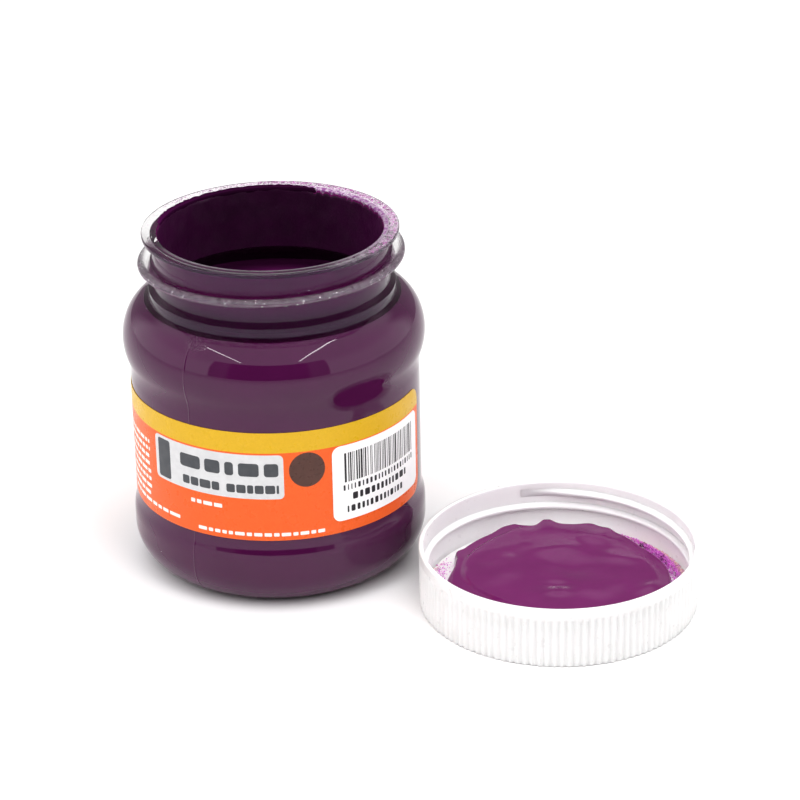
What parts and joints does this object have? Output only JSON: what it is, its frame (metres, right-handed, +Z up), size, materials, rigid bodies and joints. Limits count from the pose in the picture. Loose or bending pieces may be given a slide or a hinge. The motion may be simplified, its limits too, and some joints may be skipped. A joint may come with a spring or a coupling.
{
  "type": "paint jar",
  "caption": "Wide-mouth clear screw-top jar of purple paint with a wrap label, open, and its ribbed white cap upside down beside it with paint on the liner.",
  "frame": {"origin": "centre of the jar's flat base, on the surface it stands on; the cap lies beside the jar at +X, -Y", "axes": "+Z up along the jar's axis, out of the mouth; -Y is the label's front"},
  "size_m": [0.1322, 0.1016, 0.0829],
  "materials": {
    "clear_plastic": "clear, smooth, glossy moulded PET",
    "wet_paint": "wet acrylic paint, glossy deep purple",
    "paint_coat": "half-dry acrylic coat, satin",
    "label_film": "printed film, satin gloss",
    "sticker_paper": "coated white paper",
    "white_plastic": "moulded white polypropylene, satin",
    "liner_foam": "pressed foam disc, matt",
    "pool_paint": "wet acrylic paint, glossy purple",
    "dry_crumbs": "dried paint crumbs, matt"
  },
  "bodies": {
    "jar": {"jar_shell": "clear_plastic", "paint_fill": "wet_paint", "paint_film": "paint_coat", "wrap_label": "label_film", "shade_sticker": "sticker_paper"},
    "cap_inner": {"cap_liner": "liner_foam", "cap_paint": "pool_paint", "dried_paint": "dry_crumbs"},
    "cap": {"cap_shell": "white_plastic"}
  },
  "joints": [
    {"name": "lift_and_turn_over", "type": "hinge", "parent": "jar", "child": "cap_inner", "pos_m": [0.03205, -0.01675, 0.048], "axis": [-0.4632, -0.8863, 0], "range_deg": [0, 180]},
    {"name": "cap_twist", "type": "hinge", "parent": "cap_inner", "child": "cap", "pos_m": [0.0641, -0.0335, 0.0074], "axis": [0, 0, 1], "continuous": true}
  ]
}
